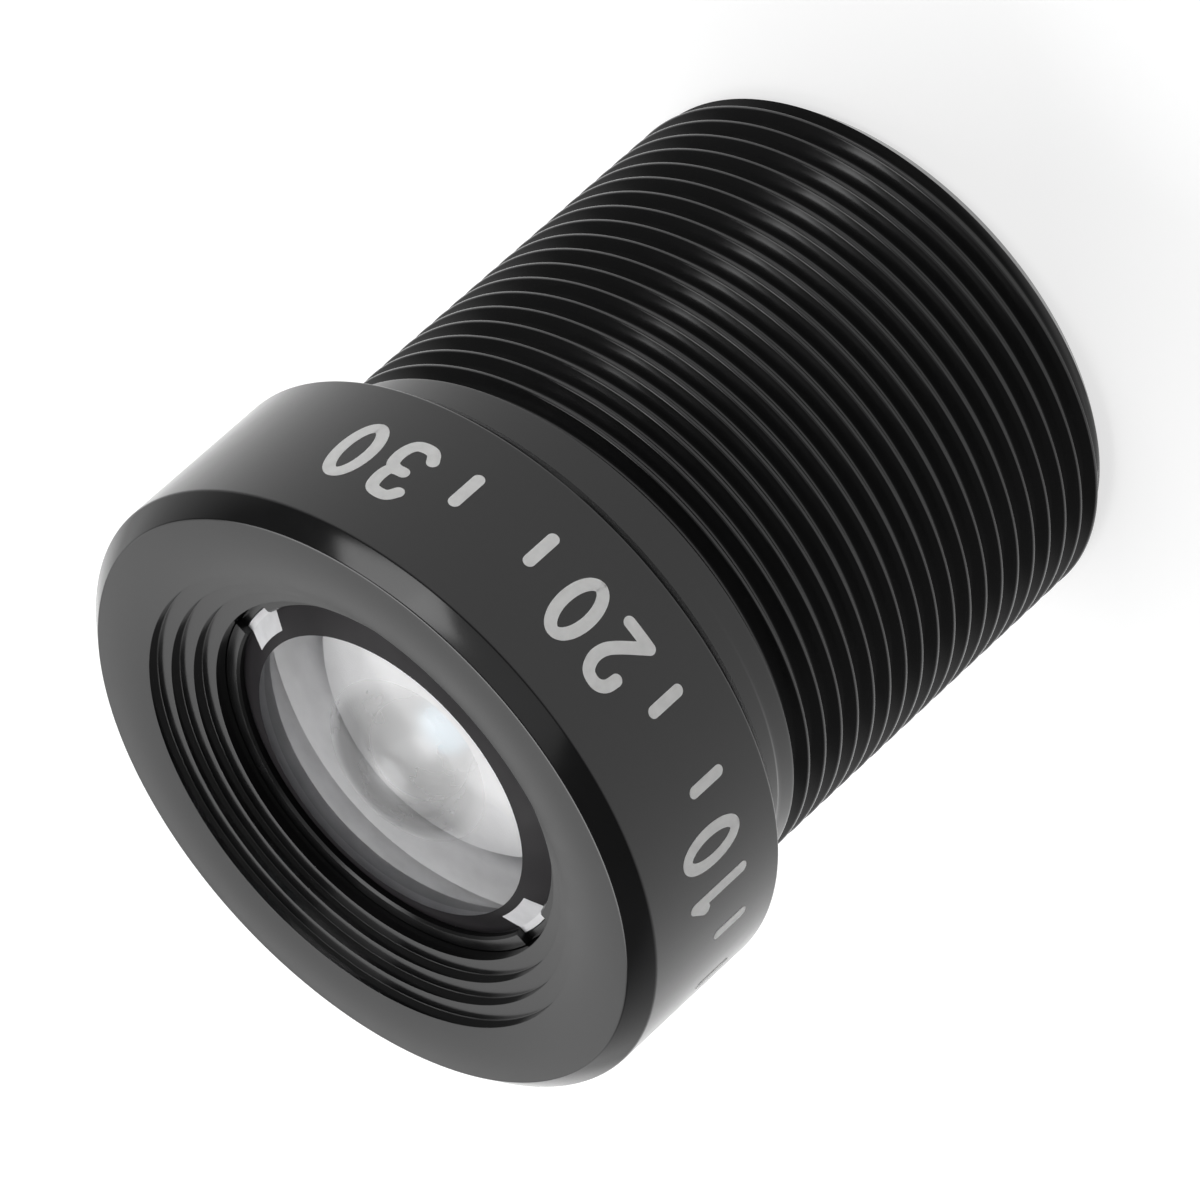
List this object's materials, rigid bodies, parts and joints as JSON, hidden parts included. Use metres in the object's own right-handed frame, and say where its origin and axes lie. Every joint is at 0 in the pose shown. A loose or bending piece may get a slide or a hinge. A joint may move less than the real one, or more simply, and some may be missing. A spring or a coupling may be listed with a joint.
{
  "type": "board camera lens",
  "caption": "Small board camera lens: black threaded barrel with a wider chamfered head, a stepped mouth, a slotted retaining ring and a bulging front glass.",
  "frame": {"origin": "centre of the rear end face, on which the lens stands", "axes": "+Z along the optical axis from the rear end towards the front glass, +X through the slots of the front retaining ring"},
  "size_m": [0.014, 0.014, 0.0159],
  "materials": {
    "black_anodised": "satin black anodised, turned",
    "dull_black": "dull black anodised",
    "spacer_black": "matt black anodised",
    "stop_black": "matt black film",
    "coated_glass": "polished, anti-reflection coated",
    "filter_glass": "polished, thin-film infrared cut coating"
  },
  "bodies": {
    "root": {"barrel": "black_anodised", "front_retaining_ring": "dull_black", "front_lens": "coated_glass", "front_spacer": "spacer_black", "second_lens": "coated_glass", "stop_spacer": "spacer_black", "aperture_stop": "stop_black", "doublet_front_lens": "coated_glass", "doublet_rear_lens": "coated_glass", "rear_spacer": "spacer_black", "rear_lens": "coated_glass", "rear_retaining_ring": "dull_black", "ir_cut_filter": "filter_glass"}
  },
  "joints": []
}
